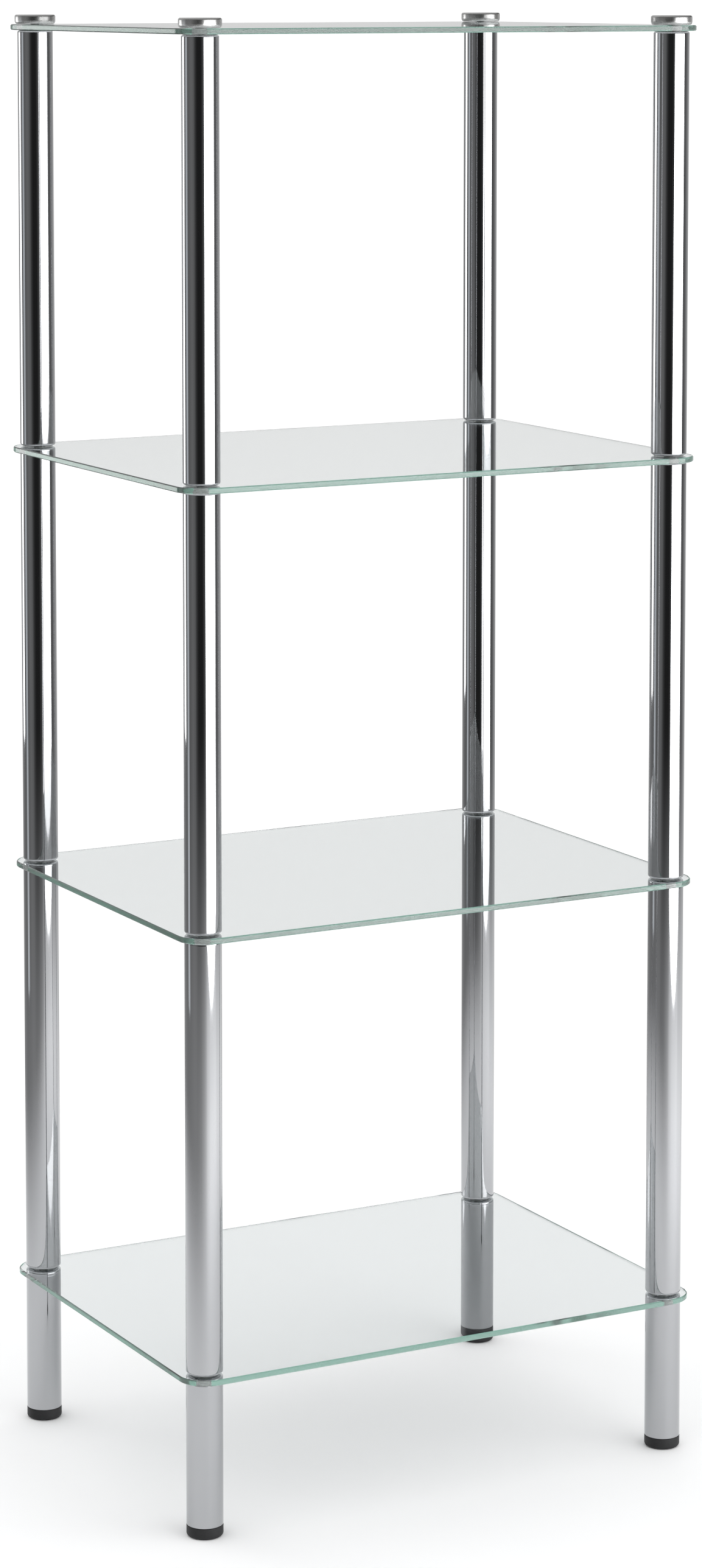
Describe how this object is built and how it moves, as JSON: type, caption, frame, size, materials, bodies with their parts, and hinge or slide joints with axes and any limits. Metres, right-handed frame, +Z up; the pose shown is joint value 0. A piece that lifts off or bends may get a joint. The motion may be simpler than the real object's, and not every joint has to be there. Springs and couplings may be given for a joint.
{
  "type": "glass shelving unit",
  "caption": "Open shelving unit: rounded glass shelves clamped between chrome tube posts at the corners, with screw caps on top and black plastic feet below.",
  "frame": {"origin": "on the floor, midway between the four posts", "axes": "+Z up, +X along the wide side of the shelves to the right, wide front side facing -Y"},
  "size_m": [0.4, 0.3, 1.0187],
  "materials": {
    "shelf_glass": "clear float glass, green at its ground edges",
    "chrome_tube": "bright chrome plate",
    "zinc_stud": "zinc plated thread",
    "clear_washer": "clear soft plastic",
    "satin_cap": "satin turned metal",
    "black_foot": "matte moulded plastic"
  },
  "bodies": {
    "frame": {"glass_shelf_bottom": "shelf_glass", "glass_shelf_lower": "shelf_glass", "glass_shelf_upper": "shelf_glass", "glass_shelf_top": "shelf_glass", "leg_tube_front_left": "chrome_tube", "leg_tube_front_right": "chrome_tube", "leg_tube_back_left": "chrome_tube", "leg_tube_back_right": "chrome_tube", "lower_tube_front_left": "chrome_tube", "lower_tube_front_right": "chrome_tube", "lower_tube_back_left": "chrome_tube", "lower_tube_back_right": "chrome_tube", "middle_tube_front_left": "chrome_tube", "middle_tube_front_right": "chrome_tube", "middle_tube_back_left": "chrome_tube", "middle_tube_back_right": "chrome_tube", "upper_tube_front_left": "chrome_tube", "upper_tube_front_right": "chrome_tube", "upper_tube_back_left": "chrome_tube", "upper_tube_back_right": "chrome_tube", "bottom_stud_front_left": "zinc_stud", "bottom_stud_front_right": "zinc_stud", "bottom_stud_back_left": "zinc_stud", "bottom_stud_back_right": "zinc_stud", "lower_stud_front_left": "zinc_stud", "lower_stud_front_right": "zinc_stud", "lower_stud_back_left": "zinc_stud", "lower_stud_back_right": "zinc_stud", "upper_stud_front_left": "zinc_stud", "upper_stud_front_right": "zinc_stud", "upper_stud_back_left": "zinc_stud", "upper_stud_back_right": "zinc_stud", "bottom_washer_front_left": "clear_washer", "bottom_washer_front_right": "clear_washer", "bottom_washer_back_left": "clear_washer", "bottom_washer_back_right": "clear_washer", "lower_washer_front_left": "clear_washer", "lower_washer_front_right": "clear_washer", "lower_washer_back_left": "clear_washer", "lower_washer_back_right": "clear_washer", "upper_washer_front_left": "clear_washer", "upper_washer_front_right": "clear_washer", "upper_washer_back_left": "clear_washer", "upper_washer_back_right": "clear_washer", "top_washer_front_left": "clear_washer", "top_washer_front_right": "clear_washer", "top_washer_back_left": "clear_washer", "top_washer_back_right": "clear_washer", "foot_front_left": "black_foot", "foot_front_right": "black_foot", "foot_back_left": "black_foot", "foot_back_right": "black_foot"},
    "rising_stud_front_left": {"cap_stud_front_left": "zinc_stud"},
    "rising_stud_front_right": {"cap_stud_front_right": "zinc_stud"},
    "rising_stud_back_left": {"cap_stud_back_left": "zinc_stud"},
    "rising_stud_back_right": {"cap_stud_back_right": "zinc_stud"},
    "turning_cap_front_left": {"screw_cap_front_left": "satin_cap"},
    "turning_cap_front_right": {"screw_cap_front_right": "satin_cap"},
    "turning_cap_back_left": {"screw_cap_back_left": "satin_cap"},
    "turning_cap_back_right": {"screw_cap_back_right": "satin_cap"}
  },
  "joints": [
    {"name": "cap_climb_front_left", "type": "slide", "parent": "frame", "child": "rising_stud_front_left", "axis": [0, 0, 1], "range_m": [0, 0.0111]},
    {"name": "cap_turn_front_left", "type": "hinge", "parent": "rising_stud_front_left", "child": "turning_cap_front_left", "pos_m": [-0.182, -0.132, 1.012], "axis": [0, 0, 1], "range_deg": [0, 3960]},
    {"name": "cap_climb_front_right", "type": "slide", "parent": "frame", "child": "rising_stud_front_right", "axis": [0, 0, 1], "range_m": [0, 0.0111]},
    {"name": "cap_turn_front_right", "type": "hinge", "parent": "rising_stud_front_right", "child": "turning_cap_front_right", "pos_m": [0.182, -0.132, 1.012], "axis": [0, 0, 1], "range_deg": [0, 3960]},
    {"name": "cap_climb_back_left", "type": "slide", "parent": "frame", "child": "rising_stud_back_left", "axis": [0, 0, 1], "range_m": [0, 0.0111]},
    {"name": "cap_turn_back_left", "type": "hinge", "parent": "rising_stud_back_left", "child": "turning_cap_back_left", "pos_m": [-0.182, 0.132, 1.012], "axis": [0, 0, 1], "range_deg": [0, 3960]},
    {"name": "cap_climb_back_right", "type": "slide", "parent": "frame", "child": "rising_stud_back_right", "axis": [0, 0, 1], "range_m": [0, 0.0111]},
    {"name": "cap_turn_back_right", "type": "hinge", "parent": "rising_stud_back_right", "child": "turning_cap_back_right", "pos_m": [0.182, 0.132, 1.012], "axis": [0, 0, 1], "range_deg": [0, 3960]}
  ],
  "couplings": [
    {"joint": "cap_climb_front_left", "follows": "cap_turn_front_left", "m_per_rad": 0.00015915},
    {"joint": "cap_climb_front_right", "follows": "cap_turn_front_right", "m_per_rad": 0.00015915},
    {"joint": "cap_climb_back_left", "follows": "cap_turn_back_left", "m_per_rad": 0.00015915},
    {"joint": "cap_climb_back_right", "follows": "cap_turn_back_right", "m_per_rad": 0.00015915}
  ]
}
